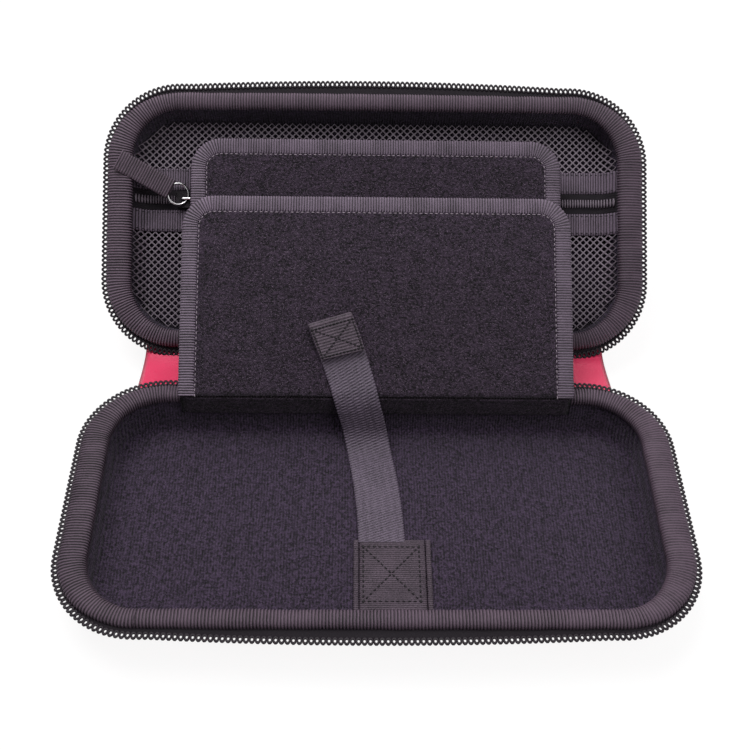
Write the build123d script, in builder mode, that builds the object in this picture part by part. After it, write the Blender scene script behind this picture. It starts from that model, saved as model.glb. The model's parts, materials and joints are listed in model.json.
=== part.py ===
"""Zipped hard case for a handheld game console, standing open: tray, lid, pocket, flaps and strap."""

import os
from math import acos, atan2, cos, hypot, radians, sin, tan

from build123d import *

# Outline over the zip teeth, and the depth of each half below its zip tape
case_width = 268.0
case_depth = 135.0
case_corner = 38.0
tray_depth = 20.0
lid_depth = 27.5

# Moulded shell and its lining
wall_inset = 8.0
wall = 3.2
lining = 0.8
draft = 12.0
tray_edge = 8.0
lid_edge = 5.0
smallest_edge = 1.5

# Zip tape, teeth and the binding roll around each rim
tape_thickness = 0.8
tape_margin = 2.1
tooth_width = 2.4
tooth_root = 1.2
tooth_height = 1.8
tooth_pitch = 4.0
tooth_share = 0.55
binding_width = 8.5
binding_height = 3.8
binding_round = 3.5
zip_end = 75.0
closed_gap = 0.6

# Hinge line behind the tray, and the cloth panel that bridges the two halves
hinge_back = 8.6
hinge_height = 16.2
heel_gap = 0.1
panel_thickness = 1.0
panel_length = 224.0
panel_drop = 1.8
panel_overhang = 1.0
panel_bend = 6.0
fit_gap = 0.3

# Padded flaps
flap_width = 182.0
flap_length = 96.0
flap_pad = 2.6
flap_corner = 10.0
flap_tape = 0.5
flap_tape_width = 8.3
flap_tilt = 34.0
flap_root_rise = 24.4
flap_root_gap = 1.5
rear_flap_recess = 1.8

# Net pocket in the lid
net_recess = 12.0
net_thickness = 0.7
net_hole = 4.2
net_pitch_x = 9.6
net_pitch_y = 9.0
net_border = 8.0
pocket_zip_offset = 12.0
pocket_opening = 10.0
band_width = 11.0
band_thickness = 0.8
pocket_tape_thickness = 0.6
chain_width = 5.0
chain_height = 1.6
chain_pitch = 3.0

# Pocket slider and its pull
slider_from_end = 40.0
slider_place = slider_from_end - case_width / 2
slider_length = 11.0
slider_width = 8.4
slider_plate = 1.2
slider_clearance = 0.25
bail_wire = 1.0
bail_span = 6.0
bail_rise = 2.6
ring_radius = 5.2
ring_wire = 0.6
pull_heading = 153.0
pull_rise = 24.0
ribbon_width = 9.0
ribbon_length = 26.0
ribbon_thickness = 1.6

# Sliders at the two ends of the case zip
main_slider_length = 12.0
main_slider_plate = 1.2
main_slider_reach = 4.5
main_pull_length = 24.0
main_pull_thickness = 1.2
main_pull_fall = 10.0
pin_radius = 0.7
eye_wall = 0.8
ear_width = 0.9

# Strap and the patch that holds its end
strap_width = 20.5
strap_thickness = 1.4
strap_from_front = 56.8
strap_start = strap_from_front - case_depth / 2
strap_start_x = 1.9
strap_wall_x = -5.0
strap_root_x = -8.0
strap_tip_x = -21.5
strap_stand_off = 4.1
strap_on_flap = 36.0
strap_fold = 17.0
strap_lift = 0.4
patch_width = 33.0
patch_length = 36.0
patch_centre = 6.5
patch_thickness = 1.4

# Derived levels and the open pose, in which the lid rests on its heel
binding_top = tape_thickness + binding_height
lid_rim = tray_depth + 2 * binding_top + closed_gap
lid_top = lid_rim + lid_depth
inner_inset = wall_inset + wall + lining
binding_inset = tooth_width + tape_margin
opening_inset = binding_inset + binding_width
hinge_y = case_depth / 2 + hinge_back
floor_top = wall + lining
heel_inset = wall_inset + (lid_depth - lid_edge) * tan(radians(draft)) + lid_edge / cos(radians(draft))
heel_y = case_depth / 2 - heel_inset - hinge_y
heel_z = lid_top - lid_edge - hinge_height
heel_level = lid_edge + heel_gap - hinge_height
open_angle = acos(heel_level / hypot(heel_y, heel_z)) - atan2(heel_y, heel_z)


def swing(y, z):
    """Carry a point of the closed lid round the hinge line to the open pose."""
    dy = y - hinge_y
    dz = z - hinge_height
    open_y = hinge_y + dy * cos(open_angle) + dz * sin(open_angle)
    open_z = hinge_height - dy * sin(open_angle) + dz * cos(open_angle)
    return open_y, open_z


lid_inward = (0, -sin(open_angle), -cos(open_angle))
tray_plane = Plane.XY
lid_plane = Plane(origin=(0, *swing(0, lid_top)), x_dir=(1, 0, 0), z_dir=lid_inward)
tilt = radians(flap_tilt)
flap_y = case_depth / 2 - opening_inset - flap_root_gap
flap_plane = Plane(
    origin=(0, flap_y, flap_root_rise), x_dir=(1, 0, 0), z_dir=(0, -sin(tilt), cos(tilt))
)
flap_half = flap_pad / 2 + flap_tape
rear_level = lid_depth + binding_top - rear_flap_recess - flap_half
rear_start = opening_inset + fit_gap - flap_root_gap - case_depth / 2
rear_plane = Plane(
    origin=lid_plane.from_local_coords((0, rear_start, rear_level)),
    x_dir=(1, 0, 0),
    z_dir=lid_inward,
)

os.makedirs("parts", exist_ok=True)


def save(builder, name):
    """Label one finished piece and write it."""
    builder.part.label = name
    export_step(builder.part, f"parts/{name}.step")


def outline(inset):
    """Rounded outline of the case, moved inward from the zip teeth."""
    return RectangleRounded(case_width - 2 * inset, case_depth - 2 * inset, case_corner - inset)


def tub(plane, depth, inset, floor, edge):
    """Drafted solid from the zip tape's level down to a floor, with a rounded lower edge."""
    with BuildPart() as form:
        with BuildSketch(Plane(plane.offset(depth).origin, plane.x_dir, -plane.z_dir)):
            outline(inset)
        extrude(amount=depth - floor, taper=draft)
        base = form.faces().sort_by(Axis(plane.origin, plane.z_dir))[0]
        fillet(base.edges(), max(edge, smallest_edge))
    return form.part


def half_shell(name, plane, depth, edge):
    """Moulded shell of one half, open at the zip."""
    with BuildPart() as shell:
        add(tub(plane, depth, wall_inset, 0, edge))
        add(tub(plane, depth, wall_inset + wall, wall, edge - wall), mode=Mode.SUBTRACT)
    save(shell, name)


def half_lining(name, plane, depth, edge):
    """Fleece lining glued inside one shell."""
    with BuildPart() as sheet:
        add(tub(plane, depth, wall_inset + wall, wall, edge - wall))
        add(tub(plane, depth, inner_inset, floor_top, edge - floor_top), mode=Mode.SUBTRACT)
    save(sheet, name)


def half_binding(name, plane, depth):
    """Padded binding roll on top of the zip tape."""
    with BuildPart() as roll:
        with BuildSketch(plane.offset(depth + tape_thickness)):
            outline(binding_inset)
            with BuildSketch(mode=Mode.SUBTRACT):
                outline(opening_inset)
        extrude(amount=binding_height)
        top = roll.faces().sort_by(Axis(plane.origin, plane.z_dir))[-1]
        fillet(top.edges(), binding_round)
    save(roll, name)


def half_tape(name, plane, depth, hinge_side):
    """Zip tape on the rim, with its outer strip left out along the hinge."""
    with BuildPart() as tape:
        with BuildSketch(plane.offset(depth)):
            outline(tooth_width)
            with BuildSketch(mode=Mode.SUBTRACT):
                outline(inner_inset)
            with Locations((0, hinge_side * (case_depth - binding_inset) / 2)):
                Rectangle(2 * zip_end, binding_inset, mode=Mode.SUBTRACT)
        extrude(amount=tape_thickness)
    save(tape, name)


def half_teeth(name, plane, depth, hinge_side):
    """Row of zip teeth round one rim, on a root strip along the tape's edge."""
    reach = tooth_width - tooth_root
    with BuildSketch(mode=Mode.PRIVATE) as root_line:
        outline(reach)
    run = root_line.wire()
    count = round(run.length / tooth_pitch)
    corners = []
    for number in range(count):
        for share, height in ((0, 0), (0, reach), (tooth_share, reach), (tooth_share, 0)):
            step = (number + share) / count
            outward = run.tangent_at(step).cross(Vector(0, 0, 1))
            corners.append(run.position_at(step) + outward * height)
    with BuildPart() as row:
        with BuildSketch(plane.offset(depth)):
            with BuildLine():
                Polyline(*corners, close=True)
            make_face()
            with BuildSketch(mode=Mode.SUBTRACT):
                outline(tooth_width)
            with Locations((0, hinge_side * (case_depth - binding_inset) / 2)):
                Rectangle(2 * zip_end, binding_inset, mode=Mode.SUBTRACT)
        extrude(amount=tooth_height)
    save(row, name)


def flap_outline(margin, foot):
    """Flap outline with two rounded upper corners, moved inward by a margin."""
    width = flap_width - 2 * margin
    length = flap_length - margin
    with Locations((0, foot)):
        Rectangle(width, length - foot, align=(Align.CENTER, Align.MIN))


def flap_solid(plane, margin, foot, half):
    """Flap-shaped plate around its middle plane."""
    with BuildPart() as plate:
        with BuildSketch(plane.offset(-half)) as face:
            flap_outline(margin, foot)
            upper = face.vertices().group_by(Axis.Y)[-1]
            fillet(upper, max(flap_corner - margin, smallest_edge))
        extrude(amount=2 * half)
    return plate.part


def padded_flap(prefix, plane):
    """Padded board and the tape folded over three of its edges."""
    with BuildPart() as board:
        add(flap_solid(plane, flap_tape, flap_root_gap, flap_pad / 2))
    save(board, f"{prefix}_flap_pad")
    with BuildPart() as tape:
        add(flap_solid(plane, 0, flap_root_gap, flap_half))
        add(flap_solid(plane, flap_tape, flap_root_gap, flap_pad / 2), mode=Mode.SUBTRACT)
        add(flap_solid(plane, flap_tape_width, flap_root_gap, flap_half), mode=Mode.SUBTRACT)
    save(tape, f"{prefix}_flap_tape")


# Shells, linings, zip tapes, teeth and bindings of both halves
for half, plane, depth, edge, hinge_side in (
    ("tray", tray_plane, tray_depth, tray_edge, 1),
    ("lid", lid_plane, lid_depth, lid_edge, -1),
):
    half_shell(f"{half}_shell", plane, depth, edge)
    half_lining(f"{half}_lining", plane, depth, edge)
    half_tape(f"{half}_zip_tape", plane, depth, hinge_side)
    half_teeth(f"{half}_zip_teeth", plane, depth, hinge_side)
    half_binding(f"{half}_binding", plane, depth)

# Cloth hinge panel, from under the tray's tape to under the lid's tape
panel_middle = panel_drop + panel_thickness / 2
panel_start = case_depth / 2 - wall_inset + fit_gap
panel_turn = case_depth / 2 + panel_overhang
with BuildPart() as hinge_panel:
    with BuildSketch(Plane.YZ):
        with BuildLine() as panel_line:
            FilletPolyline(
                (panel_start, tray_depth - panel_middle),
                (panel_turn, tray_depth - panel_middle),
                swing(panel_turn, lid_rim + panel_middle),
                swing(panel_start, lid_rim + panel_middle),
                radius=panel_bend,
            )
        trace(line_width=panel_thickness)
    extrude(amount=panel_length / 2, both=True)
save(hinge_panel, "hinge_panel")

padded_flap("front", flap_plane)
padded_flap("rear", rear_plane)

# Net pocket: two net panels, the tape strip between them, two bands and the zip chain
net_level = lid_depth - net_recess
net_inset = inner_inset + net_recess * tan(radians(draft)) + fit_gap
net_width = case_width - 2 * net_inset
net_half = case_depth / 2 - net_inset
upper_edge = pocket_zip_offset + pocket_opening / 2
lower_edge = pocket_zip_offset - pocket_opening / 2
for name, low, high in (
    ("pocket_net_upper", upper_edge, net_half),
    ("pocket_net_lower", -net_half, lower_edge),
):
    columns = int((net_width - 2 * net_border - case_corner) / net_pitch_x)
    rows = max(int((high - low - 2 * net_border) / net_pitch_y), 1)
    with BuildPart() as net:
        with BuildSketch(lid_plane.offset(net_level - net_thickness)):
            outline(net_inset)
            with Locations((0, (low + high) / 2)):
                Rectangle(net_width, high - low, mode=Mode.INTERSECT)
                with GridLocations(net_pitch_x, net_pitch_y, columns, rows):
                    Rectangle(net_hole, net_hole, rotation=45, mode=Mode.SUBTRACT)
        extrude(amount=net_thickness)
    save(net, name)

with BuildPart() as pocket_zip_tape:
    with BuildSketch(lid_plane.offset(net_level - pocket_tape_thickness)):
        with Locations((0, pocket_zip_offset)):
            Rectangle(net_width, pocket_opening)
    extrude(amount=pocket_tape_thickness)
save(pocket_zip_tape, "pocket_zip_tape")

for name, middle in (
    ("pocket_band_upper", upper_edge + band_width / 2),
    ("pocket_band_lower", lower_edge - band_width / 2),
):
    with BuildPart() as band:
        with BuildSketch(lid_plane.offset(net_level)):
            outline(net_inset)
            with Locations((0, middle)):
                Rectangle(net_width, band_width, mode=Mode.INTERSECT)
        extrude(amount=band_thickness)
    save(band, name)

chain_length = net_width - 2 * slider_length
with BuildPart() as pocket_zip_chain:
    with BuildSketch(lid_plane.offset(net_level)):
        with Locations((0, pocket_zip_offset)):
            Rectangle(chain_length, chain_width / 2)
            with GridLocations(chain_pitch, 0, int(chain_length / chain_pitch), 1):
                Rectangle(chain_pitch / 2, chain_width)
    extrude(amount=chain_height)
save(pocket_zip_chain, "pocket_zip_chain")

# Pocket slider: a plate over the chain, two side flanges and a wire bail on top
slider_floor = net_level + slider_clearance
slider_under = net_level + chain_height + slider_clearance
slider_top = slider_under + slider_plate
slider_inner = chain_width + 2 * slider_clearance
bail_plane = Plane(
    origin=lid_plane.from_local_coords((slider_place, pocket_zip_offset, slider_top)),
    x_dir=lid_plane.x_dir,
    z_dir=-lid_plane.y_dir,
)
with BuildPart() as pocket_slider:
    with BuildSketch(lid_plane.offset(slider_floor)):
        with Locations((slider_place, pocket_zip_offset)):
            RectangleRounded(slider_length, slider_width, slider_width / 4)
    extrude(amount=slider_top - slider_floor)
    with BuildSketch(lid_plane.offset(slider_floor)):
        with Locations((slider_place, pocket_zip_offset)):
            Rectangle(slider_length, slider_inner)
    extrude(amount=slider_under - slider_floor, mode=Mode.SUBTRACT)
    with BuildSketch(bail_plane):
        Rectangle(bail_span, bail_rise, align=(Align.CENTER, Align.MIN))
        Rectangle(
            bail_span - 2 * bail_wire,
            bail_rise - bail_wire,
            align=(Align.CENTER, Align.MIN),
            mode=Mode.SUBTRACT,
        )
    extrude(amount=bail_wire / 2, both=True)
save(pocket_slider, "pocket_slider")

# Pull: a wire ring through the bail and a folded ribbon on the ring
heading = radians(pull_heading)
rise = radians(pull_rise)
pull_way = (
    lid_plane.x_dir * cos(heading) * cos(rise)
    + lid_plane.y_dir * sin(heading) * cos(rise)
    + lid_plane.z_dir * sin(rise)
)
pull_side = lid_plane.z_dir.cross(pull_way).normalized()
pull_up = pull_way.cross(pull_side)
ring_hold = bail_rise - bail_wire - ring_wire - slider_clearance
pull_start = lid_plane.from_local_coords((slider_place, pocket_zip_offset, slider_top + ring_hold))
pull_plane = Plane(origin=pull_start, x_dir=pull_way, z_dir=pull_up)
with BuildPart() as pull_ring:
    with BuildSketch(Plane(pull_plane.origin, pull_plane.x_dir, pull_plane.y_dir)):
        with Locations((0, 0)):
            Circle(ring_wire)
    revolve(axis=Axis(pull_plane.from_local_coords((ring_radius, 0, 0)), pull_plane.z_dir))
save(pull_ring, "pull_ring")

with BuildPart() as pull_ribbon:
    ribbon_start = 2 * ring_radius + ring_wire + slider_clearance
    with BuildSketch(pull_plane.offset(-ribbon_thickness / 2)):
        with Locations((ribbon_start, 0)):
            Rectangle(ribbon_length, ribbon_width, align=(Align.MIN, Align.CENTER))
    extrude(amount=ribbon_thickness)
save(pull_ribbon, "pull_ribbon")

# Case zip sliders at both ends of the tray's teeth, each with a tab on a pin
teeth_middle = (case_depth - tooth_width) / 2
main_low = tray_depth - slider_clearance - main_slider_plate
main_high = tray_depth + tooth_height + slider_clearance + main_slider_plate
main_pin_level = main_high + pin_radius + slider_clearance + eye_wall
for side, way in (("left", -1), ("right", 1)):
    slider_x = way * (zip_end + main_slider_length / 2)
    pin_x = way * (zip_end + pin_radius + eye_wall + slider_clearance)
    pin_plane = Plane(origin=(pin_x, teeth_middle, main_pin_level), x_dir=(-way, 0, 0), z_dir=(0, way, 0))
    ear_middle = (main_slider_reach - ear_width) / 2
    with BuildPart() as main_slider:
        with BuildSketch(Plane.XY.offset(main_low)):
            with Locations((slider_x, teeth_middle)):
                Rectangle(main_slider_length, main_slider_reach)
        extrude(amount=main_high - main_low)
        with BuildSketch(Plane.XY.offset(tray_depth - slider_clearance)):
            with Locations((slider_x, case_depth / 2 + slider_clearance)):
                Rectangle(main_slider_length, main_slider_reach, align=(Align.CENTER, Align.MAX))
        extrude(amount=tooth_height + 2 * slider_clearance, mode=Mode.SUBTRACT)
        with BuildSketch(Plane.XY.offset(main_high)):
            with Locations((pin_x, teeth_middle - ear_middle), (pin_x, teeth_middle + ear_middle)):
                Rectangle(2 * (pin_radius + eye_wall), ear_width)
        extrude(amount=main_pin_level + pin_radius - main_high)
        with BuildSketch(pin_plane):
            Circle(pin_radius)
        extrude(amount=ear_middle, both=True)
    save(main_slider, f"{side}_zip_slider")
    with BuildPart() as main_pull:
        tab_width = main_slider_reach - 2 * (ear_width + slider_clearance)
        with BuildSketch(pin_plane):
            Circle(pin_radius + slider_clearance + eye_wall)
            Rectangle(
                main_pull_length,
                main_pull_thickness,
                rotation=-main_pull_fall,
                align=(Align.MIN, Align.CENTER),
            )
            Circle(pin_radius + slider_clearance, mode=Mode.SUBTRACT)
        extrude(amount=tab_width / 2, both=True)
    save(main_pull, f"{side}_zip_pull")

# Patch on the floor, and the strap that runs from it up the back wall and onto the front flap
patch_middle = strap_start - patch_length / 2
with BuildPart() as strap_patch:
    with BuildSketch(Plane.XY.offset(floor_top)):
        with Locations((patch_centre, patch_middle)):
            Rectangle(patch_width, patch_length)
    extrude(amount=patch_thickness)
save(strap_patch, "strap_patch")


def slanted_strip(start, end):
    """Strap-wide face whose two ends are level and set off sideways."""
    half = strap_width / 2
    return Polygon(
        (start[0] - half, start[1]),
        (start[0] + half, start[1]),
        (end[0] + half, end[1]),
        (end[0] - half, end[1]),
        align=None,
    )


rise_y = flap_y - strap_stand_off
strap_low = floor_top + strap_lift
strap_level = flap_half + fit_gap
face_y = flap_y - (strap_level + strap_thickness / 2) * sin(tilt)
root_step = (rise_y - face_y) / cos(tilt)
root_rise = flap_root_rise + (strap_level + strap_thickness / 2) * cos(tilt) + root_step * sin(tilt)
rise_plane = Plane(origin=(0, rise_y + strap_thickness / 2, 0), x_dir=(1, 0, 0), z_dir=(0, -1, 0))
with BuildPart() as strap:
    with BuildSketch(Plane.XY.offset(strap_low)):
        slanted_strip((strap_start_x, strap_start), (strap_wall_x, rise_y))
    extrude(amount=strap_thickness)
    with BuildSketch(rise_plane):
        slanted_strip((strap_wall_x, strap_low), (strap_root_x, root_rise))
    extrude(amount=strap_thickness)
    with BuildSketch(flap_plane.offset(strap_level)):
        slanted_strip((strap_root_x, root_step), (strap_tip_x, strap_on_flap))
    extrude(amount=strap_thickness)
    fold_share = strap_fold / (strap_on_flap - root_step)
    fold_x = strap_tip_x + (strap_root_x - strap_tip_x) * fold_share
    with BuildSketch(flap_plane.offset(strap_level + strap_thickness)):
        slanted_strip((fold_x, strap_on_flap - strap_fold), (strap_tip_x, strap_on_flap))
    extrude(amount=strap_thickness)
save(strap, "strap")
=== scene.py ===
# %% [markdown]
# # Open zip case for a handheld console
# A moulded case lies open: a fleece-lined tray in front, a lid leaning back behind it, two padded flaps
# between them, a webbing strap on the tray's floor and a zipped net pocket in the lid.
# The hard parts come from the CAD frame. The cloth is modelled here, because its ribs, stitches and holes
# are what make the case look sewn.

import json
from math import cos, pi, radians, sin

import bmesh
import bpy
from mathutils import Matrix, Vector, geometry, noise
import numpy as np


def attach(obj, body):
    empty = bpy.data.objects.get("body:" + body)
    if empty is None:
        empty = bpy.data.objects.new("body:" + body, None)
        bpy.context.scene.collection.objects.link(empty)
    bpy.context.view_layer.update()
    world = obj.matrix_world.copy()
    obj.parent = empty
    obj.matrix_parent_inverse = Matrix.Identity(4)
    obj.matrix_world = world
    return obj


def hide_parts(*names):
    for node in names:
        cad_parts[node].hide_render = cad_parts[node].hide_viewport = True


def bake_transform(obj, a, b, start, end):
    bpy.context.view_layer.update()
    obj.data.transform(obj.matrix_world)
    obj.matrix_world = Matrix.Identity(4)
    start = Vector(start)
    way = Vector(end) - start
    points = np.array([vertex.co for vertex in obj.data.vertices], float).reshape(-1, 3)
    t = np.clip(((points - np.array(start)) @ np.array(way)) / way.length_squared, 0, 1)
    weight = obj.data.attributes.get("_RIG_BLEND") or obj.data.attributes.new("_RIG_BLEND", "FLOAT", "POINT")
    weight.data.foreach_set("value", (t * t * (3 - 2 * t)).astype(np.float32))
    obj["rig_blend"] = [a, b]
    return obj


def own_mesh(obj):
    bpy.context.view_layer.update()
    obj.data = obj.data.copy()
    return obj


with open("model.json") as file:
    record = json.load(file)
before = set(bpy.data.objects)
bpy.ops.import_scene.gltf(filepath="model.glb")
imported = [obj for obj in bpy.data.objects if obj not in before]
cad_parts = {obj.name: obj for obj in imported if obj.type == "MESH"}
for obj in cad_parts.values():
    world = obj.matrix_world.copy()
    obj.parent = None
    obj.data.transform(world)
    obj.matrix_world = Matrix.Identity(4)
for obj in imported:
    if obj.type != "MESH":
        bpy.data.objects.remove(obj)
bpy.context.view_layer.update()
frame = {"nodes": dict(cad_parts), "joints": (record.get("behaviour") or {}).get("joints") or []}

# %% [markdown]
# ## Driving sizes
# Sizes of the case are in millimetres, as on its pattern. The rim of both halves is one rounded
# rectangle, and everything sewn to it is placed by its distance in from that edge.

# %% Sizes of the case
mm = 0.001
half_width, half_depth, corner = 134.0, 67.5, 38.0
tray_depth, lid_depth = 20.0, 27.5
closed_height = 57.3
zip_end = 75.0
bow_half, zip_bow, roll_bow = 90.0, 2.4, 0.3
rib_rings = 4
print("rim", 2 * half_width, "by", 2 * half_depth, "mm")

# %% [markdown]
# ## Where the lid and the flaps lie
# The lid is drawn face down like the tray, turned over onto it, and then swung open about the hinge in the
# frame. The swing comes from the hinge joint, so the cloth follows the CAD if the lid is set to lean more.

# %% Placing matrices
hinge = next(joint for joint in frame["joints"] if joint["name"] == "lid_hinge")
flap_hinge = next(joint for joint in frame["joints"] if joint["name"] == "front_flap_hinge")
pull_joint = next(joint for joint in frame["joints"] if joint["name"] == "pull_swing")
to_metres = Matrix.Scale(mm, 4)
turned_over = Matrix.Translation((0, 0, closed_height)) @ Matrix.Rotation(pi, 4, "X")
axle = Matrix.Translation(Vector(hinge["pos_m"]) / mm)
swing = axle @ Matrix.Rotation(radians(-hinge["range_deg"][1]), 4, "X") @ axle.inverted()
tray_place = Matrix.Identity(4)
quarter_left = Matrix.Rotation(pi / 2, 4, "Z")
lid_place = swing @ turned_over
flap_tilt = radians(34.0)
front_place = Matrix.Translation(Vector(flap_hinge["pos_m"]) / mm) @ Matrix.Rotation(flap_tilt, 4, "X")
rear_start, rear_level = -55.7, 28.5
rear_place = lid_place @ Matrix.Translation((0, rear_start, rear_level))
print("lid leans", round(180 - hinge["range_deg"][1], 1), "degrees from flat")

# %% [markdown]
# ## Shader arithmetic
# Cloth is made of repeated small things, so its colours and bumps are sums of waves and noise. A wrapped
# socket lets them be written as plain arithmetic.

# %% Wire class


class Wire:
    """A shader socket that takes part in arithmetic like a number."""

    def __init__(self, tree, socket=None):
        self.tree, self.socket = tree, socket

    def make(self, kind, settings=None, values=None, out=0):
        """New node: settings first, then values or links by socket name or number."""
        node = self.tree.nodes.new("ShaderNode" + kind)
        for key, value in (settings or {}).items():
            setattr(node, key, value)
        for key, value in (values or {}).items():
            if isinstance(value, Wire):
                self.tree.links.new(value.socket, node.inputs[key])
            else:
                node.inputs[key].default_value = value
        return Wire(self.tree, node.outputs[out])

    def math(self, operation, *terms):
        return self.make("Math", {"operation": operation}, dict(enumerate(terms)))

    def __add__(self, other):
        return self.math("ADD", self, other)

    def __sub__(self, other):
        return self.math("SUBTRACT", self, other)

    def __rsub__(self, other):
        return self.math("SUBTRACT", other, self)

    def __mul__(self, other):
        return self.math("MULTIPLY", self, other)

    def __truediv__(self, other):
        return self.math("DIVIDE", self, other)

    def __rtruediv__(self, other):
        return self.math("DIVIDE", other, self)

    def __pow__(self, other):
        return self.math("POWER", self, other)

    def __rpow__(self, other):
        return self.math("POWER", other, self)

    __radd__, __rmul__ = __add__, __mul__

    def wave(self):
        """Smooth wave from 0 to 1, one to each whole number."""
        return self.math("COSINE", self * (2 * pi)) * 0.5 + 0.5

    def clamp(self):
        return self.make("Clamp", None, {0: self})

    def blend(self, low, high):
        """Colour between two, by this wire."""
        return self.make("Mix", {"data_type": "RGBA"}, {0: self, 6: low, 7: high}, out=2)


def tone(red, green, blue):
    """Screen colour, 0 to 255, as the linear colour that the shader takes."""
    levels = (red, green, blue)
    linear = [((v / 255 + 0.055) / 1.055) ** 2.4 if v > 10 else v / 3294 for v in levels]
    return (*linear, 1)


# %% [markdown]
# ## One way to start and end a material
# Every material reads the place in millimetres, makes a colour, a roughness and a height, and ends in one
# shader. The height goes through a bump, so even a smooth piece catches the light like cloth.

# %% Material helpers


class Surface:
    """A new material with its place wires, ended by dress()."""

    def __init__(self, name):
        self.material = bpy.data.materials.new(name)
        self.material.use_nodes = True
        self.tree = self.material.node_tree
        self.shader = self.tree.nodes["Principled BSDF"]
        self.wire = Wire(self.tree)
        place = self.wire.make("TexCoord", out=3)
        self.place = place.make("VectorMath", {"operation": "SCALE"}, {0: place, 3: 1 / mm})
        self.x, self.y = (place.make("SeparateXYZ", None, {0: self.place}, out=k) for k in range(2))

    def speckle(self, size, detail=2.0):
        """Noise from about 0 to 1 with grains of that size in millimetres."""
        return self.wire.make("TexNoise", None, {"Vector": self.place, "Scale": 1 / size, "Detail": detail})

    def number(self, name):
        """A number that the mesh carries."""
        return self.wire.make("Attribute", {"attribute_name": name}, out=2)

    def dress(self, colour, roughness, height, lift, **fixed):
        """Links colour, roughness and height; lift is the bump's depth in millimetres."""
        bump = self.wire.make("Bump", None, {"Height": height, "Distance": lift * mm})
        for name, value in (("Base Color", colour), ("Roughness", roughness), ("Normal", bump)):
            self.tree.links.new(value.socket, self.shader.inputs[name])
        for name, value in fixed.items():
            self.shader.inputs[name.replace("_", " ")].default_value = value
        print("material", self.material.name)
        return self.material


# %% [markdown]
# ## Cover, lining and felt
# The outside is a smooth coated cloth in red. The inside of both halves is brushed knit: fine columns of
# stitches run from front to back under a short nap. The flaps have a flatter felt with pale stray fibres.

# %% Red cover
s = Surface("red_cover")
grain, patch = s.speckle(0.45), s.speckle(14.0)
red = (patch * 0.6 + grain * 0.4).blend(tone(178, 33, 68), tone(206, 47, 90))
red_cover = s.dress(red, grain * 0.2 + 0.36, grain + patch * 0.2, 0.12, Coat_Weight=0.12)

# %% Brushed knit lining
s = Surface("black_fleece")
knit_pitch = 1.3
drift, nap, fibre = s.speckle(9.0), s.speckle(1.1, 3.0), s.speckle(0.4, 3.0)
columns = (s.x / knit_pitch + drift * 0.6).wave()
shade = (columns * 0.28 + (nap - 0.5) * 2.6 + (fibre - 0.5) * 2.0 + 0.3).clamp()
fleece_colour = shade.blend(tone(9, 5, 12), tone(68, 54, 76))
pile = columns * 0.6 + nap * 1.4 + fibre
fleece = s.dress(fleece_colour, nap * 0.1 + 0.88, pile, 0.8, Specular_IOR_Level=0.2, Sheen_Weight=0.05)

# %% Felt of the flaps
s = Surface("felt")
cloud, nap, fibre = s.speckle(7.0), s.speckle(1.2, 3.0), s.speckle(0.5, 4.0)
stray = ((fibre - 0.56) * 7).clamp()
base = ((cloud - 0.5) * 0.8 + (nap - 0.5) * 3.0 + 0.45).clamp().blend(tone(7, 4, 8), tone(50, 39, 53))
felt_colour = (stray * 0.75).blend(base, tone(100, 86, 102))
pile = nap * 1.4 + fibre
felt = s.dress(felt_colour, nap * 0.1 + 0.88, pile, 0.8, Specular_IOR_Level=0.2, Sheen_Weight=0.04)

# %% [markdown]
# ## Woven tapes
# Grosgrain has thick ribs across its width. The ribs are real geometry, and each mesh carries a number that
# goes up by one from rib to rib, so the shader can paint shade into the grooves and a highlight onto the
# crests exactly where they are. The tape on the rims is darker than that on the flaps.

# %% Grosgrain
ribbed = {}
# Each row: name, groove colour, crest colour, and depth, how strongly the rib wave paints shade into the
# grooves and a highlight onto the crests.
for name, low, high, depth in (
    ("rim_tape", (8, 5, 8), (84, 69, 82), 0.9),
    ("flap_tape", (14, 10, 14), (106, 92, 108), 0.7),
):
    s = Surface(name)
    ribs, wear, yarn = s.number("along"), s.speckle(11.0), s.speckle(0.5, 3.0)
    crest = (ribs + s.speckle(3.0) * 0.3).wave() ** 0.8
    odd = s.wire.make("TexWhiteNoise", {"noise_dimensions": "1D"}, {"W": ribs.math("ROUND", ribs)})
    uneven = (yarn - 0.5) * 0.9 + (wear - 0.5) * 0.5 + (odd - 0.5) * 0.12
    # The rib wave in this colour is painted shade in the grooves and a painted highlight on the crests.
    tape_colour = (crest * depth + uneven + 0.08).clamp().blend(tone(*low), tone(*high))
    ribbed[name] = s.dress(tape_colour, yarn * 0.2 + 0.55, crest + yarn * 0.4, 0.15, Specular_IOR_Level=0.3)

# %% Dark tape of the patch
s = Surface("patch_tape")
ribs, wear, yarn = s.number("along"), s.speckle(8.0), s.speckle(0.6, 3.0)
crest = ribs.wave()
# crest * 0.4 paints shade into the grooves between the ribs and a highlight onto their crests.
shade = (crest * 0.4 + (yarn - 0.5) * 1.6 + (wear - 0.5) * 0.5 + 0.25).clamp()
patch_colour = shade.blend(tone(12, 9, 12), tone(86, 73, 85))
patch_tape = s.dress(patch_colour, yarn * 0.2 + 0.6, crest + yarn * 0.6, 0.15, Specular_IOR_Level=0.25)

# %% Webbing of the strap
s = Surface("webbing")
ribs, side = s.number("along"), s.number("across")
wear, yarn = s.speckle(9.0), s.speckle(0.6, 3.0)
twill = (ribs + side * 3.0).wave()
shade = (twill * 0.5 + (yarn - 0.5) * 1.5 + (wear - 0.5) * 0.4 + 0.25).clamp()
webbing_colour = shade.blend(tone(20, 15, 22), tone(93, 81, 97))
webbing = s.dress(webbing_colour, yarn * 0.2 + 0.5, twill + yarn * 0.5, 0.18, Specular_IOR_Level=0.3)

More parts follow.
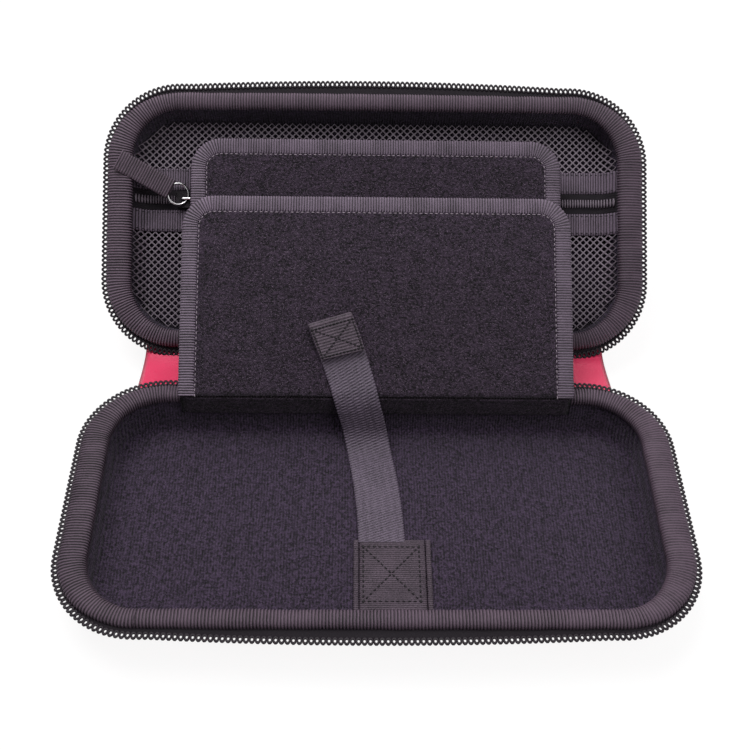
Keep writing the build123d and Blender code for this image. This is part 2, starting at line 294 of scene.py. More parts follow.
# %% Zip tape
s = Surface("zip_tape")
weave = (s.x / 0.7 + s.y / 0.7).wave() * 0.5 + (s.x / 0.7 - s.y / 0.7).wave() * 0.5
yarn = s.speckle(0.4)
tape_black = (weave * 0.5 + yarn * 0.5).blend(tone(8, 6, 9), tone(32, 26, 33))
zip_cloth = s.dress(tape_black, yarn * 0.2 + 0.65, weave + yarn * 0.4, 0.15, Specular_IOR_Level=0.2)

# %% [markdown]
# ## Nylon, thread and metal
# The zip coil, the net and the sewing thread are nylon: slightly shiny and uneven. The slider's bail and ring
# are bright nickel with fine polishing lines, the case sliders are black-coated. The pocket slider's body is
# the same nickel as its bail, but it takes the black metal as painted shade because it lies in shadow.

# %% Nylon and thread
nylon = {}
for name, low, high, rough, shine in (
    ("zip_coil", (8, 5, 8), (36, 27, 36), 0.45, 0.25),
    ("net", (40, 32, 40), (124, 111, 124), 0.42, 0.5),
    ("dark_thread", (6, 4, 6), (26, 21, 27), 0.6, 0.3),
    ("pale_thread", (92, 80, 92), (150, 138, 148), 0.55, 0.5),
):
    s = Surface(name)
    yarn, fleck = s.speckle(0.25, 3.0), s.speckle(2.5)
    colour = (yarn * 0.6 + fleck * 0.4).blend(tone(*low), tone(*high))
    nylon[name] = s.dress(colour, yarn * 0.2 + rough, yarn, 0.06, Specular_IOR_Level=shine)

# %% Metal
metal = {}
for name, low, high, rough in (
    ("bright_metal", (178, 176, 178), (232, 230, 232), 0.14),
    ("black_metal", (20, 18, 20), (50, 47, 50), 0.3),
):
    s = Surface(name)
    brush, smudge = s.speckle(0.2), s.speckle(3.0)
    colour = (brush * 0.5 + smudge * 0.5).blend(tone(*low), tone(*high))
    metal[name] = s.dress(colour, smudge * 0.15 + rough, brush, 0.02, Metallic=1.0)

# %% [markdown]
# ## Finishing the moulded parts
# The shells, linings and metal parts keep their CAD shape and take the new finishes. The linings are bonded
# to the moulded shells, so they have no folds of their own.

# %% Materials of the CAD parts
finishes = {
    "tray_shell": red_cover,
    "lid_shell": red_cover,
    "tray_lining": fleece,
    "lid_lining": fleece,
    # The pocket slider's body takes the black metal as painted shade; its real metal is the bright nickel of
    # its bail.
    "pocket_slider": metal["black_metal"],
    "pull_ring": metal["bright_metal"],
    "left_zip_slider": metal["black_metal"],
    "right_zip_slider": metal["black_metal"],
    "left_zip_pull": metal["black_metal"],
    "right_zip_pull": metal["black_metal"],
}
for name, material in finishes.items():
    materials = frame["nodes"][name].data.materials
    for k in range(len(materials)):
        materials[k] = material
print("finished", len(finishes), "CAD parts")

# %% [markdown]
# ## Walking a tape along a path
# Tapes, straps and rolls are all one section carried along a path, as they come off a reel. A path is a list
# of runs: a length, how far it turns left and how far it turns up on the way. Each rib gets four rings.

# %% Path and section helpers


def walk(start, runs, pitch, rings=rib_rings):
    """Places along a path, a whole number of ribs to each run."""
    place, places = start, [start]
    for length, left, up in runs:
        steps = rings * max(1, round(length / pitch))
        half_turn = Matrix.Rotation(left / steps / 2, 4, "Z") @ Matrix.Rotation(-up / steps / 2, 4, "Y")
        bend = (abs(left) + abs(up)) / steps / 2
        chord = length / steps * (sin(bend) / bend if bend else 1)
        step = half_turn @ Matrix.Translation((chord, 0, 0)) @ half_turn
        for _ in range(steps):
            place = place @ step
            places.append(place)
    return places


def section(mesh, half_across, half_high, points, squareness):
    """Rounded section in the plane across the path: round at 1, square towards 0."""
    ring = bmesh.ops.create_circle(mesh, segments=points, radius=1)["verts"]
    for vert in ring:
        y, z = vert.co.x, vert.co.y
        vert.co = (
            0,
            half_across * abs(y) ** squareness * (1 if y > 0 else -1),
            half_high * abs(z) ** squareness * (1 if z > 0 else -1),
        )
    return ring


def carry(places, half_across, half_high, points=16, squareness=1.0, rib=0.0, closed=False, chunk=40):
    """Mesh of a section carried along places, with ribs of that height raised on it."""
    whole, scratch = bmesh.new(), bpy.data.meshes.new("scratch")
    for first in range(0, len(places) - 1, chunk):
        mesh = bmesh.new()
        along = mesh.verts.layers.float.new("along")
        across = mesh.verts.layers.float.new("across")
        ring = section(mesh, half_across, half_high, points, squareness)
        for vert in ring:
            vert[across], vert[along] = vert.co.y / half_across, first / rib_rings
        edges = list({edge for vert in ring for edge in vert.link_edges})
        bmesh.ops.transform(mesh, matrix=places[first], verts=ring)
        for k in range(first + 1, min(first + chunk + 1, len(places))):
            made = bmesh.ops.extrude_edge_only(mesh, edges=edges)["geom"]
            ring = [item for item in made if isinstance(item, bmesh.types.BMVert)]
            edges = [item for item in made if isinstance(item, bmesh.types.BMEdge)]
            bmesh.ops.transform(mesh, matrix=places[k] @ places[k - 1].inverted(), verts=ring)
            for vert in ring:
                vert[along] = k / rib_rings
        mesh.to_mesh(scratch)
        mesh.free()
        whole.from_mesh(scratch)
    mesh, along = whole, whole.verts.layers.float["along"]
    bpy.data.meshes.remove(scratch)
    bmesh.ops.remove_doubles(mesh, verts=mesh.verts, dist=0.01)
    if not closed:
        bmesh.ops.holes_fill(mesh, edges=mesh.edges, sides=0)
    bmesh.ops.recalc_face_normals(mesh, faces=mesh.faces)
    mesh.normal_update()
    lifts = [rib * cos(2 * pi * vert[along]) for vert in mesh.verts]
    moves = [vert.normal * lift for vert, lift in zip(mesh.verts, lifts)]
    for vert, move in zip(mesh.verts, moves):
        vert.co += move
    return mesh


def piece(name, mesh, material, place, nodes=(), body=None):
    """Turns a finished mesh in millimetres into an object of the case."""
    bmesh.ops.transform(mesh, matrix=to_metres @ place, verts=mesh.verts)
    data = bpy.data.meshes.new(name)
    mesh.to_mesh(data)
    mesh.free()
    data.shade_smooth()
    data.materials.append(material)
    made = bpy.data.objects.new(name, data)
    bpy.context.scene.collection.objects.link(made)
    if nodes:
        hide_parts(*nodes)
    if body:
        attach(made, body)
    print(name, len(data.polygons), "faces")
    return made


def rim_runs(inset):
    """Runs once round the rim, that far in from its edge."""
    bend = ((corner - inset) * pi / 2, pi / 2, 0)
    return [(2 * (half_width - corner), 0, 0), bend, (2 * (half_depth - corner), 0, 0), bend] * 2


def rim_start(inset, level):
    return Matrix.Translation((corner - half_width, inset - half_depth, level))


def bow(mesh, free_side, amount):
    """Lets the free long side, away from the hinge, sag outward between its corners."""
    for vert in mesh.verts:
        if vert.co.y * free_side > half_depth - corner:
            vert.co.y += free_side * amount * max(0, 1 - (vert.co.x / bow_half) ** 2)


# %% [markdown]
# ## Rim bindings
# Each rim is finished with a wide grosgrain tape rolled over the raw edge of shell and lining. It is a fat,
# soft roll whose ribs stand across it, and it swells and gathers a little where it was pulled round.

# %% Bindings of tray and lid
binding_inset, binding_across, binding_high, binding_rise = 7.9, 5.2, 3.1, 1.3
rib_pitch, rib_height, swell, swell_size = 1.35, 0.26, 0.22, 9
roll_outer, roll_inner, tight_outer, tight_inner = 2.4, 14.6, 4.8, 12.9


def settle(mesh):
    """Makes the roll wide on the short sides and narrow on the long ones, where it is pulled tight."""
    for vert in mesh.verts:
        out_x = max(abs(vert.co.x) - half_width + corner, 0)
        out_y = max(abs(vert.co.y) - half_depth + corner, 0)
        out = Vector((out_x, out_y, 0))
        tight = (out.y / out.length) ** 2
        outer = roll_outer + (tight_outer - roll_outer) * tight
        inner = roll_inner + (tight_inner - roll_inner) * tight
        inset = corner - out.length
        share = (inset - binding_inset + binding_across) / (2 * binding_across)
        move = out.normalized() * (inset - outer - share * (inner - outer))
        vert.co += Vector((move.x if vert.co.x > 0 else -move.x, move.y if vert.co.y > 0 else -move.y, 0))


halves = (("tray", tray_depth, tray_place, -1), ("lid", lid_depth, lid_place, 1))
for half, depth, place, free_side in halves:
    start = rim_start(binding_inset, depth + binding_rise)
    mesh = carry(
        walk(start, rim_runs(binding_inset), rib_pitch),
        binding_across,
        binding_high,
        squareness=0.8,
        rib=rib_height,
        closed=True,
    )
    settle(mesh)
    bow(mesh, free_side, roll_bow)
    for vert in mesh.verts:
        vert.co += vert.normal * swell * noise.noise(vert.co / swell_size)
    piece(
        f"{half}_binding_roll", mesh, ribbed["rim_tape"], place, [f"{half}_binding"], half
    )

# %% [markdown]
# ## Zip coil
# The two halves of the case zip are nylon coils sewn to the edge of the tape. Every turn is a small loop
# that stands out past the tape, so light shows through the loops.

# %% Coil helper
coil_pitch, coil_wire, coil_inset, coil_rise = 2.3, 0.46, 1.8, 0.9
loop_radius, loop_stretch = 0.88, 1.5


def coil_of(depth, free_side):
    """Loops of nylon round a rim, left out between the zip's ends on the hinge side."""
    mesh = bmesh.new()
    wire_place = Matrix.Translation((loop_radius, 0, 0)) @ Matrix.Rotation(pi / 2, 4, "X")
    ring = bmesh.ops.create_circle(mesh, segments=6, radius=coil_wire, matrix=wire_place)["verts"]
    edges = list({edge for vert in ring for edge in vert.link_edges})
    bmesh.ops.spin(mesh, geom=ring + edges, axis=(0, 0, 1), angle=2 * pi, steps=10, use_merge=True)
    bmesh.ops.scale(mesh, vec=(1, loop_stretch, 1), verts=mesh.verts)
    pattern = list(mesh.verts)
    first = pattern + list(mesh.edges) + list(mesh.faces)
    for spot in walk(rim_start(coil_inset, depth + coil_rise), rim_runs(coil_inset), coil_pitch, 1)[1:]:
        if abs(spot.translation.x) < zip_end and spot.translation.y * free_side < 0:
            continue
        copies = bmesh.ops.duplicate(mesh, geom=first)["geom"]
        verts = [item for item in copies if isinstance(item, bmesh.types.BMVert)]
        bmesh.ops.transform(mesh, matrix=spot, verts=verts)
    bmesh.ops.delete(mesh, geom=pattern, context="VERTS")
    bmesh.ops.recalc_face_normals(mesh, faces=mesh.faces)
    return mesh


# %% [markdown]
# ## Zip tape
# A woven tape carries the coil and runs in under the binding. Along the long side away from the hinge, tape
# and coil sag outward a little between the corners.

# %% Zip tapes with their coils
zip_band_inset, zip_band_half, zip_band_thick, zip_band_step = 7.5, 5.0, 0.45, 3.0
for half, depth, place, free_side in halves:
    band_runs = rim_runs(zip_band_inset)
    band_path = walk(rim_start(zip_band_inset, depth + zip_band_thick), band_runs, zip_band_step)
    tape = carry(band_path, zip_band_half, zip_band_thick, 12, 0.35, closed=True)
    bow(tape, free_side, zip_bow)
    band = piece(f"{half}_zip_band", tape, zip_cloth, place, [f"{half}_zip_tape"], half)
    sum(run[0] for run in band_runs) * mm
    mesh = coil_of(depth, free_side)
    bow(mesh, free_side, zip_bow)
    piece(f"{half}_zip_coil", mesh, nylon["zip_coil"], place, [f"{half}_zip_teeth"], half)

# %% [markdown]
# ## Padded flaps
# Two thin foam boards in felt keep the console and the pocket apart. Their edges are bound with grosgrain
# folded over three sides and sewn with a pale thread that shows as a dashed line.

# %% Flap boards
flap_half, flap_length, flap_corner, flap_root = 91.0, 96.0, 15.0, 1.5
flap_edge, flap_middle = 1.3, 1.75
flap_tape_across, flap_tape_high = 4.15, 1.85
flaps = (("front", front_place, "front_flap"), ("rear", rear_place, "lid"))
pad_margin = 1.0
puff_steps = ((2.0, 0.5), (2.5, 0.35), (3.0, 0.15))
for side, place, body in flaps:
    mesh = bmesh.new()
    bmesh.ops.create_cube(mesh, size=1)
    long, wide = flap_length - flap_root - pad_margin, 2 * (flap_half - pad_margin)
    bmesh.ops.scale(mesh, vec=(wide, long, 2 * flap_edge), verts=mesh.verts)
    bmesh.ops.translate(mesh, vec=(0, flap_root + long / 2, 0), verts=mesh.verts)
    upright = [edge for edge in mesh.edges if abs(edge.verts[0].co.z - edge.verts[1].co.z) > flap_edge]
    far = [edge for edge in upright if edge.verts[0].co.y > flap_length / 2]
    turn = flap_corner - pad_margin
    bmesh.ops.bevel(mesh, geom=far, offset=turn, affect="EDGES", segments=8, profile=0.5, material=-1)
    for inward, lift in puff_steps:
        mesh.normal_update()
        for way in (1, -1):
            face = next(f for f in mesh.faces if len(f.verts) > 8 and f.normal.z * way > 0.9)
            bmesh.ops.inset_region(mesh, faces=[face], thickness=inward, use_even_offset=True)
            for vert in face.verts:
                vert.co.z += way * lift * (flap_middle - flap_edge)
    bmesh.ops.recalc_face_normals(mesh, faces=mesh.faces)
    board = piece(f"{side}_flap_board", mesh, felt, place, [f"{side}_flap_pad"], body)

# %% [markdown]
# ## Edge tapes of the flaps
# The tape is folded over the board's edge and goes up one side, round the far end and down the other. The
# seam takes the same way further in, so both share one path.

# %% Flap edge tapes
flap_rib_pitch, flap_rib_height = 1.25, 0.12


def flap_path(inset, level, pitch, rings=rib_rings):
    """Places up one side of a flap, round its far end and down again, that far in from its edge."""
    start = Matrix.Translation((flap_half - inset, flap_root, level)) @ quarter_left
    bend = ((flap_corner - inset) * pi / 2, pi / 2, 0)
    rise = (flap_length - flap_corner - flap_root, 0, 0)
    return walk(start, [rise, bend, (2 * (flap_half - flap_corner), 0, 0), bend, rise], pitch, rings)


for side, place, body in flaps:
    path = flap_path(flap_tape_across, 0, flap_rib_pitch)
    mesh = carry(path, flap_tape_across, flap_tape_high, squareness=0.45, rib=flap_rib_height)
    nodes = [f"{side}_flap_tape"]
    edging = piece(f"{side}_flap_edging", mesh, ribbed["flap_tape"], place, nodes, body)

# %% [markdown]
# ## Root of the front flap
# A strip of the flap's felt hangs down in front of the tray's rear wall. It covers the binding under the flap.

# %% Felt at the front flap's root
root_high, root_low, root_y = 24.8, 14.6, 53.5
start = Matrix.Translation((0, root_y, root_low)) @ quarter_left @ Matrix.Rotation(-pi / 2, 4, "Y")
root_half = flap_half - pad_margin
mesh = carry(walk(start, [(root_high - root_low, 0, 0)], 2.0), root_half, 0.4, 12, 0.3)
skirt = piece("flap_root", mesh, felt, tray_place, body="tray")

# %% [markdown]
# ## Stitches
# A stitch is a short piece of thread pulled into the cloth. Each one is a stretched ball; rows of them are
# laid along the same kind of path as the tapes.

# %% Stitch helper


def stitches(places, length, thread, mesh=None):
    """Adds one stretched ball at each place, along its path."""
    mesh = mesh or bmesh.new()
    size = Matrix.Diagonal((length / 2, thread, thread, 1))
    for place in places:
        bmesh.ops.create_uvsphere(mesh, u_segments=6, v_segments=5, radius=1, matrix=place @ size)
    return mesh


def sew_line(base, first, last, pitch, length, thread, mesh):
    """Adds a row of stitches between two points in the plane of base."""
    run = Vector((last[0] - first[0], last[1] - first[1], 0))
    heading = Vector((1, 0, 0)).rotation_difference(run).to_matrix().to_4x4()
    row = base @ Matrix.Translation((*first, 0)) @ heading
    stitches(walk(row, [(run.length, 0, 0)], pitch, 1), length, thread, mesh)


box_with_cross = ((0, 1), (1, 2), (2, 3), (3, 0), (0, 2), (1, 3))

# %% Seams of the flap tapes
seam_pitch, seam_inset, seam_stitch, seam_thread, seam_sunk = 2.4, 7.9, 1.7, 0.22, 0.15
for side, place, body in flaps:
    mesh = bmesh.new()
    for level in (flap_tape_high - seam_sunk, seam_sunk - flap_tape_high):
        stitches(flap_path(seam_inset, level, seam_pitch, 1), seam_stitch, seam_thread, mesh)
    piece(f"{side}_flap_seam", mesh, nylon["pale_thread"], place, body=body)

# %% [markdown]
# ## Net pocket
# The pocket is a knitted net in two panels. Its holes are real: a grid turned by 45 degrees is inset cell by
# cell and the middles are taken out, which leaves the strands; the corners of the holes are rounded.

# %% Net panels
net_half_width, net_half_depth, net_corner, net_level = 121.8, 52.6, 25.0, 15.2
cell_wide, cell_high, strand, net_thick = 3.5, 3.4, 0.3, 0.5
hole_round, sway, sway_size = 0.42, 0.35, 22
lift_from, lift_high = 111.0, 8.5


def in_net(x, y):
    """True inside the rounded outline of the pocket."""
    out_x = max(abs(x) - net_half_width + net_corner, 0)
    out_y = max(abs(y) - net_half_depth + net_corner, 0)
    return (out_x**2 + out_y**2) ** 0.5 < net_corner


def net_lift(x):
    """How far the net is drawn up to the rim towards its two ends."""
    share = max(abs(x) - lift_from, 0) / (net_half_width - lift_from)
    return lift_high * share**2


def draw_up(mesh):
    for vert in mesh.verts:
        vert.co.z += net_lift(vert.co.x)


for side, low, high in (("upper", 17.0, net_half_depth), ("lower", -net_half_depth, 7.0)):
    mesh = bmesh.new()
    cells = round(2 * (net_half_width + (high - low)) / cell_wide)
    turn = Matrix.Diagonal((cell_wide / 2**0.5, cell_high / 2**0.5, 1, 1)) @ Matrix.Rotation(pi / 4, 4, "Z")
    bmesh.ops.create_grid(mesh, x_segments=cells, y_segments=cells, size=cells / 2, matrix=turn)
    bmesh.ops.translate(mesh, vec=(0, (low + high) / 2, net_level), verts=mesh.verts)
    lost = {vert for vert in mesh.verts if not (in_net(*vert.co.xy) and low < vert.co.y < high)}
    outside = [face for face in mesh.faces if not lost.isdisjoint(face.verts)]
    bmesh.ops.delete(mesh, geom=outside, context="FACES")
    holes = list(mesh.faces)
    bmesh.ops.inset_individual(mesh, faces=holes, thickness=strand, use_even_offset=True)
    rims = [vert for face in holes for vert in face.verts]
    bmesh.ops.delete(mesh, geom=holes, context="FACES_ONLY")
    bmesh.ops.bevel(
        mesh, geom=rims, offset=hole_round, affect="VERTICES", segments=2, profile=0.5, material=-1
    )
    for vert in mesh.verts:
        vert.co.z += sway * noise.noise(vert.co / sway_size) + net_lift(vert.co.x)
    bmesh.ops.recalc_face_normals(mesh, faces=mesh.faces)
    bmesh.ops.solidify(mesh, geom=mesh.faces, thickness=net_thick)
    piece(
        f"pocket_{side}_mesh", mesh, nylon["net"], lid_place, [f"pocket_net_{side}"], "lid"
    )

# %% [markdown]
# ## Pocket zip
# The two net panels end in grosgrain bands, with a coil zip between them. The bands are sewn along both
# edges, and the closed coil looks like a row of short bars across the zip.

# %% Bands and their seams
band_half, band_thick, band_level, zip_line = 5.5, 0.55, 15.9, 12.0
band_hem, band_stitch, band_thread = 1.2, 1.5, 0.2
for side, middle in (("upper", 22.5), ("lower", 1.5)):
    start = Matrix.Translation((1 - net_half_width, middle, band_level))
    runs = [(2 * net_half_width - 2, 0, 0)]
    mesh = carry(walk(start, runs, flap_rib_pitch), band_half, band_thick, 12, 0.35, flap_rib_height)
    draw_up(mesh)
    nodes = [f"pocket_band_{side}"]
    band = piece(f"pocket_{side}_band", mesh, ribbed["flap_tape"], lid_place, nodes, "lid")
    runs[0][0] * mm
    mesh = bmesh.new()
    for shift in (band_hem - band_half, band_half - band_hem):
        row = Matrix.Translation((0, shift, 0.62)) @ start
        stitches(walk(row, runs, seam_pitch, 1), band_stitch, band_thread, mesh)
    draw_up(mesh)
    piece(f"pocket_{side}_seam", mesh, nylon["dark_thread"], lid_place, body="lid")

# %% Tape of the pocket zip
pocket_tape_half, pocket_tape_thick = 5.6, 0.4
start = Matrix.Translation((1 - net_half_width, zip_line, band_level - 0.3))
runs = [(2 * net_half_width - 2, 0, 0)]
mesh = carry(walk(start, runs, 3.0), pocket_tape_half, pocket_tape_thick, 12, 0.35)
draw_up(mesh)
tape = piece("pocket_zip_band", mesh, zip_cloth, lid_place, ["pocket_zip_tape"], "lid")
runs[0][0] * mm

# %% Closed coil of the pocket zip
chain_half, chain_pitch, chain_level = 119.0, 1.3, 17.0
chain_wide, chain_wire = 5.0, 0.5
start = Matrix.Translation((-chain_half, zip_line, chain_level))
places = walk(start, [(2 * chain_half, 0, 0)], chain_pitch, 1)
mesh = stitches([place @ quarter_left for place in places], chain_wide, chain_wire)
draw_up(mesh)
piece("pocket_coil", mesh, nylon["net"], lid_place, ["pocket_zip_chain"], "lid")

# %% [markdown]
# ## Ribbon pull
# The slider's ring carries a folded grosgrain ribbon: it runs up to the ring, round the wire and back, so it
# shows two layers and a soft fold.

# %% Ribbon
pull_heading, pull_rise, ring_far = radians(153.0), radians(21.0), 10.4
ribbon_half, ribbon_thick, ribbon_run, fold = 5.0, 0.42, 27.0, 1.15
way = Vector((cos(pull_heading) * cos(pull_rise), sin(pull_heading) * cos(pull_rise), sin(pull_rise)))
across = Vector((0, 0, 1)).cross(way).normalized()
turn = Matrix((way, across, way.cross(across))).transposed().to_4x4()
pull_place = Matrix.Translation(Vector(pull_joint["pos_m"]) / mm) @ lid_place.to_3x3().to_4x4() @ turn
start = Matrix.Translation((ring_far + ribbon_run, 0, -fold)) @ Matrix.Rotation(pi, 4, "Z")
runs = [(ribbon_run, 0, 0), (fold * pi, 0, pi), (ribbon_run + 1.2, 0, 0)]
mesh = carry(walk(start, runs, 1.3), ribbon_half, ribbon_thick, 12, 0.35, 0.1)
ribbon = piece("ribbon_pull", mesh, ribbed["rim_tape"], pull_place, ["pull_ribbon"], "pull")
ribbon_long = sum(run[0] for run in runs)
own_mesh(ribbon)
ribbon_long * mm

# %% [markdown]
# ## Bail of the slider
# A bent nickel wire stands over the slider and holds the ring.

# %% Bright bail over the slider
bail_wire, bail_half, bail_high, slider_x = 0.62, 2.7, 2.5, -94.0
bail_foot = (lid_place.inverted() @ (Vector(pull_joint["pos_m"]) / mm)).z - 0.9
start = Matrix.Translation((slider_x - bail_half, zip_line, bail_foot)) @ Matrix.Rotation(-pi / 2, 4, "Y")
bail_corner, bail_bend = 1.2, 1.9
leg, bend = (bail_high - bail_corner, 0, 0), (bail_bend, 0, -pi / 2)
runs = [leg, bend, (2 * (bail_half - bail_corner), 0, 0), bend, leg]
mesh = carry(walk(start, runs, 1.0), bail_wire, bail_wire, 10)
piece("slider_bail", mesh, metal["bright_metal"], lid_place, body="pocket_slider")

# %% [markdown]
# ## Strap patch
# A square of grosgrain, hemmed at both sides, holds the strap's lower end on the floor. It is sewn with dark
# thread in a box with a cross.

# %% Patch and its seams
patch_left, patch_right, patch_low, patch_high, patch_level = -10.0, 23.0, -49.5, -10.7, 4.75
hem, thick_thread = 2.2, 0.42
patch_middle = (patch_left + patch_right) / 2
start = Matrix.Translation((patch_middle, patch_low, patch_level)) @ quarter_left
length = patch_high - patch_low
mesh = carry(walk(start, [(length, 0, 0)], 1.0), (patch_right - patch_left) / 2 - hem, 0.7, 12, 0.3, 0.07)
patch_piece = piece("patch_panel", mesh, patch_tape, tray_place, ["strap_patch"], "tray")
hems = []
for edge in (patch_left + hem / 2 - 0.2, patch_right - hem / 2 + 0.2):
    start = Matrix.Translation((edge, patch_low, patch_level)) @ quarter_left
    mesh = carry(walk(start, [(length, 0, 0)], 1.0), hem / 2, 0.75, 10, 0.6, 0.07)
    hems.append(piece(f"patch_hem_{len(hems) + 1}", mesh, patch_tape, tray_place, body="tray"))
box_left, box_right, box_low, box_high = patch_left + 4, patch_right - 5, -41.0, patch_high - 3.5
corners = [(box_left, box_low), (box_right, box_low), (box_right, box_high), (box_left, box_high)]
seam_plane = Matrix.Translation((0, 0, patch_level + 0.72))
mesh = bmesh.new()
for first, last in box_with_cross:
    sew_line(seam_plane, corners[first], corners[last], seam_pitch, seam_stitch, thick_thread, mesh)
seam = piece("patch_seam", mesh, nylon["dark_thread"], tray_place, body="tray")
length * mm

# %% [markdown]
# ## Hold-down strap
# The strap comes out from under the patch, lies on the floor, climbs the tray's back wall and rests on the
# front flap. Its free end is folded back and sewn flat with rows of dark thread.

# %% Strap
strap_half, strap_thick, strap_pitch = 10.25, 0.6, 1.3
strap_from = Vector((0, patch_high - 1.0, 5.0))
climb = radians(70)
start = Matrix.Translation(strap_from) @ quarter_left
runs = [(45.8, 0, 0), (16.0, 0, climb), (7.3, 0, 0), (12.0, 0, flap_tilt - climb), (30.0, 0, 0)]
strap_long = sum(run[0] for run in runs)


def drift(length):
    """Sideways place of the strap's middle: it leans more and more to the left."""
    return 2.0 - 0.02 * length - 0.0017 * length**2


def slant(length):
    """How far the strap is turned there: its right edge runs ahead of its left one towards the end."""
    return 0.3 * min(max((length - 62) / 40, 0), 1)


path = walk(start, runs, strap_pitch)
flap_way = front_place.to_3x3() @ Vector((0, 1, 0))
mesh = carry(path, strap_half, strap_thick, 14, 0.35, 0.07)
run_length = mesh.verts.layers.float["along"]
for vert in mesh.verts:
    length = vert[run_length] * strap_long * rib_rings / (len(path) - 1)
    vert.co += flap_way * slant(length) * vert.co.x
    vert.co.x += drift(length)
end = path[-1]
strap = piece("strap_webbing", mesh, webbing, tray_place, ["strap"])

# %% [markdown]
# ## Folded end of the strap
# The last stretch is turned back on itself, so that the end can be gripped, and sewn in a box with a cross.
# It leans and turns along with the strap under it.

# %% Fold and its seam
fold_run, fold_turn, fold_margin = 15.5, 4.2, 1.2
fold_pitch, fold_stitch, fold_thread = 1.7, 1.5, 0.4


def lean(mesh):
    """Leans what lies on the flap along with the strap under it."""
    for vert in mesh.verts:
        length = strap_long + (vert.co - end.translation).dot(flap_way)
        vert.co += flap_way * slant(length) * vert.co.x
        vert.co.x += drift(length)


tail = walk(end, [(fold_turn, 0, pi), (fold_run, 0, 0)], strap_pitch)
mesh = carry(tail, strap_half - 0.2, strap_thick, 14, 0.35, 0.07)
lean(mesh)
tail_piece = piece("strap_fold", mesh, patch_tape, tray_place)
mesh = bmesh.new()
sewn = tail[-1] @ Matrix.Translation((0, 0, -strap_thick - 0.05))
edge = strap_half - fold_margin
near, far = -1.0, 1.5 - fold_run
box_ends = [(near, edge), (near, -edge), (far, -edge), (far, edge)]
for first, last in box_with_cross:
    sew_line(sewn, box_ends[first], box_ends[last], fold_pitch, fold_stitch, fold_thread, mesh)
lean(mesh)
fold_seam = piece("strap_seam", mesh, nylon["dark_thread"], tray_place)

# %% [markdown]
# ## How the strap bends
# The strap is sewn to the tray and lies on the flap. Between the floor and the flap it bends, so it is
# blended from one to the other there.

# %% Strap bends with the flap
bend_from = path[round(len(path) * 0.53)].translation * mm
bend_to = path[round(len(path) * 0.8)].translation * mm
for part in (strap, tail_piece, fold_seam):
    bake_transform(part, "tray", "front_flap", start=bend_from, end=bend_to)
strap_long * mm

# %% [markdown]
# ## Hinge panel
# Tray and lid are joined by one strip of red cover cloth, sewn under both zip tapes. It hangs in a slack
# curve while the case is open and wraps the back when it is closed.

# %% Panel
panel_half, panel_drop, panel_from, panel_turn, panel_thick, panel_steps = 112.0, 2.3, 59.8, 70.0, 0.5, 32
tray_knots = [Vector((0, y, tray_depth - panel_drop)) for y in (panel_from, panel_turn)]
lid_knots = [lid_place @ Vector((0, -y, lid_depth - panel_drop)) for y in (panel_turn, panel_from)]
curve = geometry.interpolate_bezier(*tray_knots, *lid_knots, panel_steps)
places = []
for k in range(panel_steps):
    ahead = (curve[min(k + 1, panel_steps - 1)] - curve[max(k - 1, 0)]).normalized()
    side = Vector((-1, 0, 0))
    facing = Matrix((ahead, side, ahead.cross(side))).transposed().to_4x4()
    places.append(Matrix.Translation(curve[k]) @ facing)
mesh = carry(places, panel_half, panel_thick, 16, 0.3)
panel = piece("hinge_cloth", mesh, red_cover, tray_place, ["hinge_panel"])
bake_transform(panel, "tray", "lid", start=curve[0] * mm, end=curve[-1] * mm)

# %% [markdown]
# ## Floor, light and camera
# The case stands on a pale sweep under broad soft light, as in a catalogue picture. The camera is the one
# fitted to the outlines of the case.

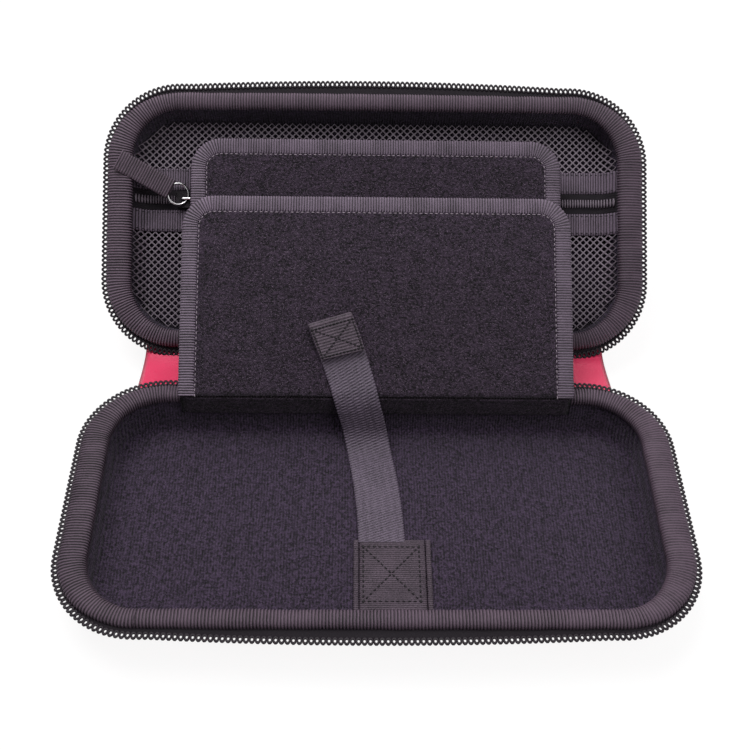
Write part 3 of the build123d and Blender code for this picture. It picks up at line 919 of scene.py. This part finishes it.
# %% Floor
mesh = bmesh.new()
bmesh.ops.create_circle(mesh, cap_ends=True, segments=96, radius=6.0)
data = bpy.data.meshes.new("floor")
mesh.to_mesh(data)
mesh.free()
floor = bpy.data.objects.new("floor", data)
bpy.context.scene.collection.objects.link(floor)
s = Surface("floor_white")
cloud = s.speckle(60.0)
white = cloud.blend(tone(246, 246, 246), tone(252, 252, 252))
plain = s.dress(white, cloud * 0.1 + 0.7, cloud, 0.01)
seen = s.wire.make("LightPath", out=0)
glow = s.wire.make("Emission", None, {"Color": (1, 1, 1, 1), "Strength": 1.0})
lit = Wire(s.tree, s.shader.outputs[0])
mixed = s.wire.make("MixShader", None, {0: seen * 0.9, 1: lit, 2: glow})
s.tree.links.new(mixed.socket, s.tree.nodes["Material Output"].inputs[0])
data.materials.append(plain)

# %% World and lamps
world = bpy.data.worlds.new("white_room")
bpy.context.scene.world = world
world.use_nodes = True
wire = Wire(world.node_tree)
seen = wire.make("LightPath", out=0)
back = world.node_tree.nodes["Background"]
world.node_tree.links.new((seen * 0.7 + 0.3).socket, back.inputs["Strength"])
back.inputs["Color"].default_value = (1, 1, 1, 1)
for name, spot, size, power in (
    ("key", (-0.3, 0.3, 1.0), 0.7, 13.0),
    ("fill", (0.5, -0.35, 0.9), 0.8, 5.0),
    ("rear", (0.3, 0.9, 0.7), 0.6, 5.0),
):
    lamp = bpy.data.lights.new(name, "AREA")
    lamp.energy, lamp.size = power, size
    light = bpy.data.objects.new(name, lamp)
    light.location = spot
    light.rotation_euler = (Vector((0, 0.07, 0.02)) - Vector(spot)).to_track_quat("-Z", "Y").to_euler()
    bpy.context.scene.collection.objects.link(light)
print("lit by", len(bpy.data.lights), "lamps")

# %% Camera
azimuth, elevation, roll, distance = radians(-1.837), radians(48.06), radians(1.766), 0.56
target = Vector((0.0, 0.0856, 0.0055))
backward = Vector((sin(azimuth) * cos(elevation), -cos(azimuth) * cos(elevation), sin(elevation)))
right = Vector((cos(azimuth), sin(azimuth), 0))
up = backward.cross(right)
tilted_right, tilted_up = right * cos(roll) + up * sin(roll), up * cos(roll) - right * sin(roll)
lens = bpy.data.cameras.new("camera")
lens.lens, lens.sensor_width = 54.79, 36.0
camera = bpy.data.objects.new("camera", lens)
turn = Matrix((tilted_right, tilted_up, backward)).transposed().to_4x4()
camera.matrix_world = Matrix.Translation(target + backward * distance) @ turn
bpy.context.scene.collection.objects.link(camera)
bpy.context.scene.camera = camera
bpy.context.scene.view_settings.view_transform = "Standard"
print("camera at", [round(v, 4) for v in camera.matrix_world.translation])
